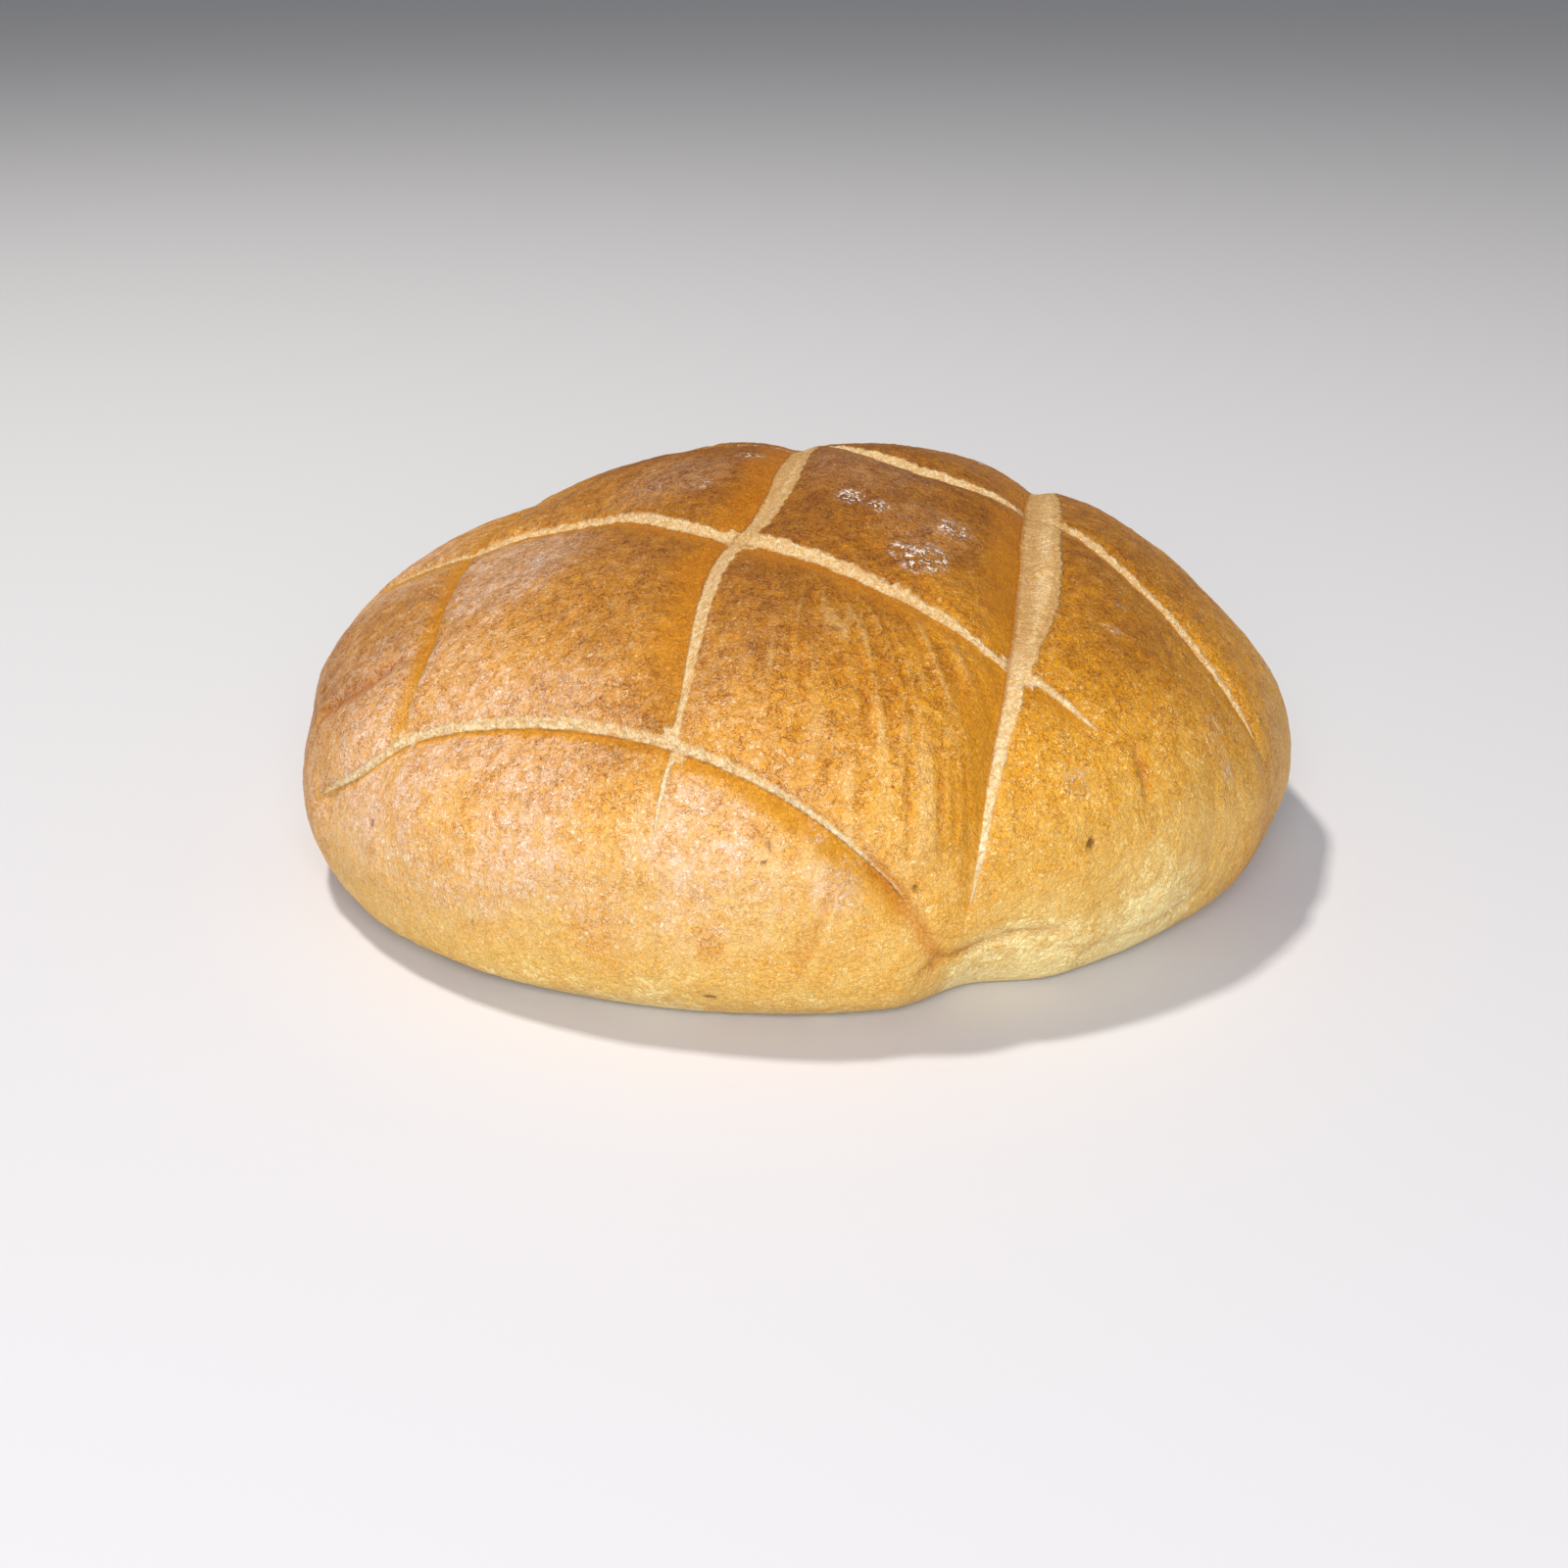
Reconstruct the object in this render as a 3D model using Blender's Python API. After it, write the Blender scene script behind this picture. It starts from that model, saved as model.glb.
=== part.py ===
"""A round loaf of wheat bread, scored crosswise before it was baked.

The loaf is one solid. A square grid is wrapped over it, with its middle at the crown and its edge
at the rim of the flat base. Sizes are in millimetres and are turned into metres at the end.
"""

import bpy
import numpy as np

MM = 0.001

# Plan: a nearly round superellipse, with its long way from front left to back right
HALF_WIDTH = 84.7
HALF_DEPTH = 80.7
PLAN_POWER = 2.03
PLAN_TURN = np.radians(49.0)

# Side view: a dome over a waist, tucked in below to the base
CROWN_HEIGHT = 65.4
WAIST_HEIGHT = 21.4
WAIST_ONE_ROUND = (-0.16, 0.08)
WAIST_TWO_ROUND = (-0.21, -0.1)
DOME_POWER = 1.3
DOME_ROOT = 2.15
CROWN_ROUNDING = 0.16
BASE_SHARE = 0.864
CROWN_SHIFT = (3.5, 3.7)
LEAN_POWER = 1.5

# Scores: a cut is deepest along one edge of its pale floor. From there one panel's smooth shoulder
# rises slowly, and on the other side the floor rises over its own width to the other panel's lip.
SCORE_DEPTH = 2.4
DEPTH_PER_WIDTH = 0.35
SHOULDER_REACH = 8.0
LIP_SHARE = 0.42
LIP_REACH = 7.0
PANEL_RISE = 0.96
LEAST_FLOOR = 0.45
SHOULDER_ROUNDING = 0.4
SCORE_FADE = 14.0
CURVE_STEPS = 24

# Relief dies out this close to the base, so that the base stays flat
BASE_FADE = 5.0

# Slow unevenness of the whole crust: (wavelength, height, seed)
UNEVENNESS = ((50.0, 0.45, 3), (22.0, 0.16, 8))
WAVE_COUNT = 14

# Places where the side is pressed in: (centre on the flattened crust, radius, depth). The first is the
# fold at the front right, where the scores run out under the loaf.
HOLLOWS = (
    ((42.0, -111.0), 24.0, 4.3),
    ((99.0, -26.0), 26.0, 1.4),
    ((76.0, 14.0), 28.0, 2.2),
    ((-46.0, 44.0), 34.0, 3.2),
    ((-100.0, -16.0), 16.0, 1.2),
)

GRID_CELLS = 70
SNAP_SHARE = 0.34
SNAP_CLEARANCE = 2.4
PROFILE_STEPS = 4000

CRUST_COLOUR = (0.56, 0.26, 0.065, 1.0)
CRUST_ROUGHNESS = 0.5

# Each score is (points, half-widths of its pale floor, strengths, side of its smooth shoulder: 1 left
# of the curve, -1 right of it). Half-widths and strengths run from first point to last. The points lie
# on the crust as if it were peeled off and laid flat: distance from the crown along the crust, in the
# direction of the plan. The last one is the crease over the lip at the front right.
SCORES = {
    "front": (
        [(-95, -39), (-78, -51), (-64, -54), (-48, -61), (-27, -72), (-10, -82), (9, -95), (27, -108)],
        (0.3, 0.6, 0.85, 0.85, 0.7, 0.35, 0.1),
        (0.9, 1.0, 1.0, 1.0, 0.7),
        -1,
    ),
    "middle": (
        [(-86, 21), (-73, 10), (-60, -1), (-46, -4), (-33, -11), (-18, -25), (5, -39), (24, -53), (52, -69)],
        (0.2, 0.35, 0.6, 0.85, 1.2, 0.9, 0.6, 0.4),
        (0.6, 0.9, 1.0, 1.0, 0.7),
        -1,
    ),
    "rear": (
        [(-62, 62), (-28, 40), (6, 15), (22, 4), (38, -1), (52, -12), (65, -24), (76, -32), (87, -42)],
        (0.3, 0.7, 1.0, 1.1, 0.8, 0.6, 0.3),
        (0.6, 0.9, 1.0, 1.0, 0.9),
        -1,
    ),
    "back": (
        [(-36, 98), (8, 74), (42, 52), (72, 30)],
        (0.3, 1.2, 1.2, 0.3),
        (0.9, 0.9),
        -1,
    ),
    "left": (
        [(-72, -82), (-70, -66), (-66, -52), (-62, -34), (-59, -9), (-53, 24), (-45, 66)],
        (0.1, 0.1, 0.1, 0.2, 0.7, 0.3),
        (0.2, 0.45, 0.85, 0.9, 0.8, 0.7, 0.7),
        1,
    ),
    "centre": (
        [(-26, -97), (-23, -84), (-20, -70), (-18, -55), (-16, -41), (-13, -31), (-8, -20), (-3, 6), (9, 88)],
        (0.25, 0.5, 1.2, 2.0, 2.5, 2.6, 2.0, 1.2, 0.4),
        (0.15, 0.5, 1.0, 1.0, 1.0, 1.0, 1.0, 1.0),
        1,
    ),
    "right": (
        [(30, -106), (29, -86), (32, -63), (37, -37), (39, -10), (42, 28), (50, 72)],
        (0.3, 0.7, 1.4, 3.4, 3.3, 3.0, 1.8, 1.0, 0.4),
        (0.6, 1.0, 1.1, 1.1, 1.0, 1.0, 1.0),
        1,
    ),
    "fold": (
        [(18, -112), (32, -107), (46, -100), (62, -97), (77, -84), (90, -64)],
        (0.1, 0.1),
        (0.4, 0.4),
        -1,
    ),
}


def smooth(x):
    """0 to 1 with level ends: 3x² - 2x³, x held between 0 and 1."""
    x = np.clip(x, 0.0, 1.0)
    return x * x * (3.0 - 2.0 * x)


def plan_radius(angle):
    """Radius of the waist in a direction: a superellipse."""
    turned = angle - PLAN_TURN
    across = np.abs(np.cos(turned) / HALF_WIDTH) ** PLAN_POWER
    along = np.abs(np.sin(turned) / HALF_DEPTH) ** PLAN_POWER
    return (across + along) ** (-1.0 / PLAN_POWER)


def waist_height(angle):
    """Height of the widest place in a direction: the mean height, with one and two waves round the loaf."""
    one = WAIST_ONE_ROUND[0] * np.cos(angle) + WAIST_ONE_ROUND[1] * np.sin(angle)
    two = WAIST_TWO_ROUND[0] * np.cos(2 * angle) + WAIST_TWO_ROUND[1] * np.sin(2 * angle)
    return WAIST_HEIGHT * (1.0 + one + two)


def profile(step):
    """Half a side view. Steps 0 to 1 run from crown to waist and 1 to 2 from waist to base.

    Gives the share of the plan radius, the share of the dome's height and the share of the waist's
    height. The dome is a superellipse that is round at the crown, and the tuck below is an ellipse.
    """
    up = np.clip(step, 0.0, 1.0) * np.pi / 2
    down = np.clip(step - 1.0, 0.0, 1.0) * np.pi / 2
    share = np.where(step > 1, BASE_SHARE + (1 - BASE_SHARE) * np.cos(down), np.sin(up))
    flat = ((1 + CROWN_ROUNDING**2) / (share**2 + CROWN_ROUNDING**2)) ** (1 - DOME_POWER / 2)
    dome = np.clip(1.0 - share**2 * flat, 0.0, 1.0) ** (1.0 / DOME_ROOT)
    return share, np.where(step > 1, 0.0, dome), 1.0 - np.sin(down)


def profile_lengths():
    """Steps down the mean side view, with the length and the crust's area (crown 0, base rim 1) so far."""
    steps = np.linspace(0.0, 2.0, PROFILE_STEPS + 1)
    share, dome, waist = profile(steps)
    height = WAIST_HEIGHT * waist + (CROWN_HEIGHT - WAIST_HEIGHT) * dome
    radius = share * np.sqrt(HALF_WIDTH * HALF_DEPTH)
    pieces = np.hypot(np.diff(radius), np.diff(height))
    length = np.concatenate([[0.0], np.cumsum(pieces)])
    area = np.concatenate([[0.0], np.cumsum(pieces * (radius[1:] + radius[:-1]))])
    return steps, length, area / area[-1]


PROFILE_STEP, PROFILE_LENGTH, PROFILE_AREA = profile_lengths()


def body(flat):
    """The smooth loaf at points of the flattened crust: the side view, swept round the plan.

    The dome leans to the shifted crown by its height to the lean power.
    """
    angle = np.arctan2(flat[:, 1], flat[:, 0])
    step = np.interp(np.hypot(flat[:, 0], flat[:, 1]), PROFILE_LENGTH, PROFILE_STEP)
    share, dome, below = profile(step)
    waist = waist_height(angle)
    z = np.where(step > 1, waist * below, waist + (CROWN_HEIGHT - waist) * dome)
    lean = np.clip(z / CROWN_HEIGHT, 0.0, 1.0) ** LEAN_POWER
    radius = plan_radius(angle) * share
    x = radius * np.cos(angle) + CROWN_SHIFT[0] * lean
    y = radius * np.sin(angle) + CROWN_SHIFT[1] * lean
    return np.stack([x, y, z], axis=-1)


def outward(points):
    """Directions in which relief is raised: the normals of an ellipsoid of about the loaf's size."""
    rise = CROWN_HEIGHT - WAIST_HEIGHT
    normals = np.stack(
        [
            points[:, 0] / HALF_WIDTH**2,
            points[:, 1] / HALF_DEPTH**2,
            (points[:, 2] - WAIST_HEIGHT) / rise**2,
        ],
        axis=-1,
    )
    return normals / np.linalg.norm(normals, axis=1, keepdims=True)


def curve_through(points):
    """A smooth curve through the points: each stretch is the cubic whose slopes join its neighbours'."""
    points = np.array(points, dtype=float)
    ends = np.vstack([2 * points[0] - points[1], points, 2 * points[-1] - points[-2]])
    u = np.linspace(0.0, 1.0, CURVE_STEPS, endpoint=False)[:, None]
    stretches = []
    for before, start, end, after in zip(ends, ends[1:], ends[2:], ends[3:]):
        slope_in = (end - before) / 2
        slope_out = (after - start) / 2
        bend = 3 * (end - start) - 2 * slope_in - slope_out
        twist = 2 * (start - end) + slope_in + slope_out
        stretches.append(start + slope_in * u + bend * u**2 + twist * u**3)
    return np.vstack(stretches + [points[-1:]])


def measure_from(curve, flat):
    """Where each flat point lies from a curve: signed distance (above 0 left of it), length along it to
    the nearest place, the whole length, that place, and the direction to the left there."""
    spans = np.diff(curve, axis=0)
    lengths = np.hypot(spans[:, 0], spans[:, 1])
    starts = np.concatenate([[0.0], np.cumsum(lengths)])
    signed = np.full(len(flat), np.inf)
    along = np.zeros(len(flat))
    foot = np.zeros_like(flat)
    left = np.zeros_like(flat)
    for start, span, length, so_far in zip(curve, spans, lengths, starts):
        across = np.array([-span[1], span[0]]) / length
        share = np.clip((flat - start) @ span / length**2, 0.0, 1.0)
        place = start + share[:, None] * span
        gap = np.hypot(*(flat - place).T)
        nearer = gap < np.abs(signed)
        signed = np.where(nearer, np.where((flat - start) @ across < 0, -gap, gap), signed)
        along = np.where(nearer, so_far + share * length, along)
        foot = np.where(nearer[:, None], place, foot)
        left = np.where(nearer[:, None], across, left)
    return signed, along, starts[-1], foot, left


def spread(values, share):
    """The value at a share of the way from the first of some evenly spaced values to the last."""
    return np.interp(share, np.linspace(0.0, 1.0, len(values)), values)


def score_depth(flat, score):
    """Depth of one score, greatest at the crease, which is the shoulder's edge of its floor.

    It falls off with distance over the shoulder as exp(-distance/reach). Over the floor it falls
    smoothly to the lip's share, and beyond the lip again as exp(-distance/reach). Both ends fade to
    nothing over a stated length.
    """
    points, half_widths, strengths, shoulder_side = score
    signed, along, total, _, _ = measure_from(curve_through(points), flat)
    fade = smooth(along / SCORE_FADE) * smooth((total - along) / SCORE_FADE)
    half = spread(half_widths, along / total) * fade
    past_crease = signed * shoulder_side - half
    deepest = SCORE_DEPTH + DEPTH_PER_WIDTH * half
    rounded = np.hypot(np.maximum(past_crease, 0.0), SHOULDER_ROUNDING) - SHOULDER_ROUNDING
    shoulder = deepest * np.exp(-rounded / SHOULDER_REACH)
    width = 2.0 * (half + LEAST_FLOOR)
    floor = deepest * (1.0 - (1.0 - LIP_SHARE) * smooth(-past_crease / width))
    beyond = np.maximum(-past_crease - width, 0.0)
    depth = np.where(past_crease > 0, shoulder, floor * np.exp(-beyond / LIP_REACH))
    return spread(strengths, along / total) * fade * depth


def pressed_in(flat):
    """How far the side is pressed towards the middle: round hollows, deepest at their centres."""
    total = np.zeros(len(flat))
    for centre, radius, depth in HOLLOWS:
        distance = np.hypot(flat[:, 0] - centre[0], flat[:, 1] - centre[1])
        total += depth * smooth(1.0 - distance / radius)
    return total


def unevenness(points):
    """Slow hills and hollows: for each wavelength, a sum of sine waves in seeded random directions."""
    total = np.zeros(len(points))
    for wavelength, height, seed in UNEVENNESS:
        chance = np.random.default_rng(seed)
        directions = chance.normal(size=(WAVE_COUNT, 3))
        directions /= np.linalg.norm(directions, axis=1, keepdims=True)
        lengths = wavelength * chance.uniform(0.75, 1.3, WAVE_COUNT)
        phases = chance.uniform(0.0, 2 * np.pi, WAVE_COUNT)
        waves = np.sin(2 * np.pi * (points @ directions.T) / lengths + phases)
        total += height * np.sqrt(2.0 / WAVE_COUNT) * waves.sum(axis=1)
    return total


def loaf_surface(flat):
    """The finished crust at flat points: the smooth loaf, raised or sunk by its relief.

    Where scores cross, their depths join as the fourth root of the sum of their fourth powers.
    """
    smooth_loaf = body(flat)
    from_axis = np.maximum(np.hypot(smooth_loaf[:, 0], smooth_loaf[:, 1]), 1.0)
    smooth_loaf[:, :2] *= (1.0 - pressed_in(flat) / from_axis)[:, None]
    depth = sum(score_depth(flat, score) ** 4 for score in SCORES.values()) ** 0.25
    height = PANEL_RISE - depth + unevenness(smooth_loaf)
    height *= smooth(smooth_loaf[:, 2] / BASE_FADE)
    return smooth_loaf + outward(smooth_loaf) * height[:, None]


def square_to_flat(u, v):
    """The square -1 to 1 laid over the flat crust: nested squares become circles of equal share of area."""
    ring = np.maximum(np.abs(u), np.abs(v))
    wide = np.abs(u) >= np.abs(v)
    side = np.where(wide, u, v)
    other = np.where(wide, v, u)
    turn = np.pi / 4 * other / np.where(side == 0, 1.0, side)
    angle = np.where(wide, turn, np.pi / 2 - turn) + np.where(side < 0, np.pi, 0.0)
    length = np.interp(ring**2, PROFILE_AREA, PROFILE_LENGTH)
    return length[:, None] * np.stack([np.cos(angle), np.sin(angle)], axis=-1)


def snapped_to_scores(flat, edge):
    """Grid points close to a score are slid onto its crease, so that it runs along the edges of faces.

    Points close to two creases stay where they are, because sliding them could fold the grid over.
    """
    reach = SNAP_SHARE * np.sqrt(np.pi) * PROFILE_LENGTH[-1] / GRID_CELLS
    nearest = np.full(len(flat), np.inf)
    second = np.full(len(flat), np.inf)
    target = flat.copy()
    for points, half_widths, _, shoulder_side in SCORES.values():
        signed, along, total, foot, left = measure_from(curve_through(points), flat)
        offset = spread(half_widths, along / total) * shoulder_side
        distance = np.where((along > 0) & (along < total), np.abs(signed - offset), np.inf)
        nearer = distance < nearest
        second = np.where(nearer, nearest, np.minimum(second, distance))
        nearest = np.where(nearer, distance, nearest)
        target = np.where(nearer[:, None], foot + left * offset[:, None], target)
    slides = (nearest < reach) & (second > SNAP_CLEARANCE * reach) & ~edge
    return np.where(slides[:, None], target, flat)


def grid_faces(cells):
    """Triangles of the grid. Each cell is cut towards the middle of the grid, so that none is a sliver."""
    faces = []
    row = cells + 1
    for j in range(cells):
        for i in range(cells):
            a = j * row + i
            b = a + 1
            c = b + row
            d = a + row
            same_side = (2 * i + 1 < cells) == (2 * j + 1 < cells)
            if same_side:
                faces += [(a, b, c), (a, c, d)]
            else:
                faces += [(a, b, d), (b, c, d)]
    return faces


def rim_loop(cells):
    """The grid's edge as one loop that faces down: the flat base."""
    row = cells + 1
    front = [i for i in range(cells)]
    right = [j * row + cells for j in range(cells)]
    back = [cells * row + i for i in range(cells, 0, -1)]
    left = [j * row for j in range(cells, 0, -1)]
    return (front + right + back + left)[::-1]


def crust_material():
    """Baked wheat crust: golden brown with a dull gloss."""
    material = bpy.data.materials.new("wheat crust")
    material.use_nodes = True
    shader = material.node_tree.nodes["Principled BSDF"]
    shader.inputs["Base Color"].default_value = CRUST_COLOUR
    shader.inputs["Roughness"].default_value = CRUST_ROUGHNESS
    shader.inputs["Metallic"].default_value = 0.0
    return material


def make_loaf():
    """The whole loaf, its base centred on the origin."""
    across = np.linspace(-1.0, 1.0, GRID_CELLS + 1)
    u, v = (grid.ravel() for grid in np.meshgrid(across, across))
    edge = np.maximum(np.abs(u), np.abs(v)) > 1.0 - 1e-9
    flat = snapped_to_scores(square_to_flat(u, v), edge)
    points = loaf_surface(flat)
    points[edge, 2] = 0.0
    middle = (points.max(axis=0) + points.min(axis=0)) / 2
    points[:, :2] -= middle[:2]

    mesh = bpy.data.meshes.new("loaf")
    mesh.from_pydata((points * MM).tolist(), [], grid_faces(GRID_CELLS) + [rim_loop(GRID_CELLS)])
    mesh.validate()
    mesh.shade_smooth()
    mesh.set_sharp_from_angle(angle=np.radians(50))
    mesh.materials.append(crust_material())
    loaf = bpy.data.objects.new("loaf", mesh)
    bpy.context.scene.collection.objects.link(loaf)
    return loaf


for existing in list(bpy.data.objects):
    bpy.data.objects.remove(existing, do_unlink=True)

make_loaf()
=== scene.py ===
"""The finished look of a round loaf of wheat bread, scored crosswise before it was baked.

The crust is one closed mesh. A square grid is wrapped over the loaf, with its middle at the crown and
its edge at the rim of the flat base, and rings of faces close the base. Sizes are in millimetres and
are turned into metres when the mesh is made.
"""

import bpy
import numpy as np
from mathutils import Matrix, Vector


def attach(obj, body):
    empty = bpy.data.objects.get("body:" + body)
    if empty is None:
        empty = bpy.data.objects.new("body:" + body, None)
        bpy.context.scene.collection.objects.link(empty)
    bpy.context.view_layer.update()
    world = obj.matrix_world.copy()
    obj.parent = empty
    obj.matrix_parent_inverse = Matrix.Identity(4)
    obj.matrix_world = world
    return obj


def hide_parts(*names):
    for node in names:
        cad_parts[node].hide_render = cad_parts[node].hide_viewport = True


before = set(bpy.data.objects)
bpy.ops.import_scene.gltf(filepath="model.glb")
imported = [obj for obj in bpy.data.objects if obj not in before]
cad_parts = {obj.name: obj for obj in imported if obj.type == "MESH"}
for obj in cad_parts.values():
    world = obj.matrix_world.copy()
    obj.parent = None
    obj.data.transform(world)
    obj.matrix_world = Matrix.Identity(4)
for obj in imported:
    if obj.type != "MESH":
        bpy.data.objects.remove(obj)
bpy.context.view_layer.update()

MM = 0.001

# Plan: a nearly round superellipse, with its long way from front left to back right
HALF_WIDTH = 84.7
HALF_DEPTH = 80.7
PLAN_POWER = 2.03
PLAN_TURN = np.radians(49.0)

# Side view: a dome over a waist, tucked in below to the base
CROWN_HEIGHT = 65.4
WAIST_HEIGHT = 21.4
WAIST_ONE_ROUND = (-0.16, 0.08)
WAIST_TWO_ROUND = (-0.21, -0.1)
DOME_POWER = 1.3
DOME_ROOT = 2.15
CROWN_ROUNDING = 0.16
BASE_SHARE = 0.864
CROWN_SHIFT = (3.5, 3.7)
LEAN_POWER = 1.5
PROFILE_STEPS = 4000

# Scores: a cut is deepest along one edge of its pale floor. From there one panel's smooth shoulder
# rises slowly, and on the other side the floor rises over its own width to the other panel's lip.
SCORE_DEPTH = 2.4
DEPTH_PER_WIDTH = 0.35
SHOULDER_REACH = 8.0
LIP_SHARE = 0.42
LIP_REACH = 7.0
PANEL_RISE = 0.96
LEAST_FLOOR = 0.45
SHOULDER_ROUNDING = 0.4
SCORE_FADE = 14.0
CURVE_STEPS = 12

# A score with less than this half-width is a closed crease: its gaps grow by up to the second value, so
# that no pale floor shows. Each edge's gap is blind to the other edge up to the third value past it.
HAIRLINE_HALF_WIDTH = 0.3
HAIRLINE_GAP = 0.6
EDGE_OVERLAP = 1.5

# How fast the painted dark line of shade at a cut's sharp edge fades out where a score is weak, how far
# torn crumb reaches past a floor, the length over which the shoulder's painted shade sets in, and the
# gap that counts as far from every score
CUT_LINE_SHADE_FADE = 2.0
TORN_REACH = 4.0
SHOULDER_SHADE_ROUNDING = 0.8
FAR_FROM_SCORES = 50.0

# Relief dies out this close to the base, so that the base stays flat
BASE_FADE = 5.0

# Slow unevenness of the whole crust: (wavelength, height, seed)
UNEVENNESS = ((50.0, 0.45, 3), (22.0, 0.16, 8))
WAVE_COUNT = 14

# Places where the side is pressed in: (centre on the flattened crust, radius, depth). The first is the
# fold at the front right, where the scores run out under the loaf.
HOLLOWS = (
    ((42.0, -111.0), 24.0, 4.3),
    ((99.0, -26.0), 26.0, 1.4),
    ((76.0, 14.0), 28.0, 2.2),
    ((-46.0, 44.0), 34.0, 3.2),
    ((-100.0, -16.0), 16.0, 1.2),
)

# Each score is (points, half-widths of its pale floor, strengths, side of its smooth shoulder: 1 left
# of the curve, -1 right of it). Half-widths and strengths run from first point to last. The points lie
# on the crust as if it were peeled off and laid flat: distance from the crown along the crust, in the
# direction of the plan. The last one is the crease over the lip at the front right.
SCORES = {
    "front": (
        [(-95, -39), (-78, -51), (-64, -54), (-48, -61), (-27, -72), (-10, -82), (9, -95), (27, -108)],
        (0.3, 0.6, 0.85, 0.85, 0.7, 0.35, 0.1),
        (0.9, 1.0, 1.0, 1.0, 0.7),
        -1,
    ),
    "middle": (
        [(-86, 21), (-73, 10), (-60, -1), (-46, -4), (-33, -11), (-18, -25), (5, -39), (24, -53), (52, -69)],
        (0.2, 0.35, 0.6, 0.85, 1.2, 0.9, 0.6, 0.4),
        (0.6, 0.9, 1.0, 1.0, 0.7),
        -1,
    ),
    "rear": (
        [(-62, 62), (-28, 40), (6, 15), (22, 4), (38, -1), (52, -12), (65, -24), (76, -32), (87, -42)],
        (0.3, 0.7, 1.0, 1.1, 0.8, 0.6, 0.3),
        (0.6, 0.9, 1.0, 1.0, 0.9),
        -1,
    ),
    "back": (
        [(-36, 98), (8, 74), (42, 52), (72, 30)],
        (0.3, 1.2, 1.2, 0.3),
        (0.9, 0.9),
        -1,
    ),
    "left": (
        [(-72, -82), (-70, -66), (-66, -52), (-62, -34), (-59, -9), (-53, 24), (-45, 66)],
        (0.1, 0.1, 0.1, 0.2, 0.7, 0.3),
        (0.2, 0.45, 0.85, 0.9, 0.8, 0.7, 0.7),
        1,
    ),
    "centre": (
        [(-26, -97), (-23, -84), (-20, -70), (-18, -55), (-16, -41), (-13, -31), (-8, -20), (-3, 6), (9, 88)],
        (0.25, 0.5, 1.2, 2.0, 2.5, 2.6, 2.0, 1.2, 0.4),
        (0.15, 0.5, 1.0, 1.0, 1.0, 1.0, 1.0, 1.0),
        1,
    ),
    "right": (
        [(30, -106), (29, -86), (32, -63), (37, -37), (39, -10), (42, 28), (50, 72)],
        (0.3, 0.7, 1.4, 3.4, 3.3, 3.0, 1.8, 1.0, 0.4),
        (0.6, 1.0, 1.1, 1.1, 1.0, 1.0, 1.0),
        1,
    ),
    "fold": (
        [(18, -112), (32, -107), (46, -100), (62, -97), (77, -84), (90, -64)],
        (0.1, 0.1),
        (0.4, 0.4),
        -1,
    ),
}

# How wide the painted shade of the smooth shoulder is beside each score, from first point to last: a
# saturated orange strip without sheen, where the shoulder turns away from the front lamp
SHOULDER_SHADE_WIDTHS = {
    "front": (0.5, 0.6, 0.9, 1.8, 2.4, 4.5, 4.0),
    "middle": (2.5, 3.5, 4.5, 4.5, 5.0, 4.0),
    "rear": (3.0,),
    "back": (4.0,),
    "left": (3.0,),
    "centre": (6.5,),
    "right": (7.0,),
    "fold": (1.5,),
}

# Faint creases beside the cuts and over the fold: (points, depth, half-width). They fade over this
# length at both ends.
CREASE_FADE = 4.0
CREASES = (
    ([(-67, -32), (-71, -33.5), (-75, -34), (-82, -30.5), (-87.5, -27)], 0.8, 1.6),
    ([(51, -64), (54, -67), (56, -70), (58, -73)], 0.7, 1.1),
    ([(22, -111.5), (27, -109), (35.5, -105), (41, -102), (46, -99.5), (55.5, -96)], 0.7, 1.0),
    ([(8, -94), (17.7, -101.8), (23, -105.6), (30, -110)], 0.9, 1.3),
)

# Pits where a bubble broke the crust: (centre on the flattened crust, radius). The depth is this share
# of the radius.
PIT_DEPTH = 0.9
PITS = (
    ((48.2, -83.6), 0.95),
    ((18.3, -98.8), 0.65),
    ((-6.4, -92.6), 0.5),
    ((-6.1, -94.0), 0.4),
    ((-7.2, -95.4), 0.5),
    ((-12.5, -101.5), 0.4),
    ((7.0, -98.5), 0.4),
    ((81.5, -79.0), 1.0),
    ((-61.4, -88.9), 0.55),
    ((-51.0, -100.0), 0.5),
    ((-75.4, -62.6), 0.7),
    ((-86.1, -20.2), 0.6),
)

# Hairline cracks low on the crust
CRACK_DEPTH = 0.35
CRACK_HALF_WIDTH = 0.4
CRACKS = (
    [(-21.5, -114.0), (-19.9, -115.0), (-18.0, -115.6)],
    [(-87.0, -19.5), (-86.1, -20.6), (-85.3, -22.0)],
)

# Ridges where the crust was stretched: their height, the radius that turns an angle round the loaf into
# a length, their width and length, the size and amount of their bends, and their share of the height
# everywhere. In the listed places they are higher: (centre on the flattened crust, radius, share).
RIDGE_HEIGHT = 0.7
RIDGE_RADIUS = 70.0
RIDGE_CELL = (1.7, 22.0)
RIDGE_BEND_CELL = 24.0
RIDGE_BEND = 5.0
RIDGE_SHARE = 0.16
RIDGE_LEVEL = 0.4
STRETCHED = (
    ((10.0, -62.0), 30.0, 0.85),
    ((18.0, -84.0), 24.0, 0.8),
    ((2.0, -100.0), 18.0, 0.9),
    ((-32.0, -104.0), 30.0, 0.35),
    ((72.0, -62.0), 30.0, 0.5),
    ((-30.0, 66.0), 30.0, 0.8),
)

# Wrinkles of the whole crust: (size, height, seed), lower than wide by this share
WRINKLES = ((5.2, 0.2, 20), (2.6, 0.16, 21), (1.6, 0.13, 22))
WRINKLE_FLATNESS = 0.75

# Torn threads that cross the floors of the cuts: height, length and width, and the size of their grain
TORN_HEIGHT = 0.22
TORN_CELL = (2.2, 0.9)
TORN_GRAIN = 1.4

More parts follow.
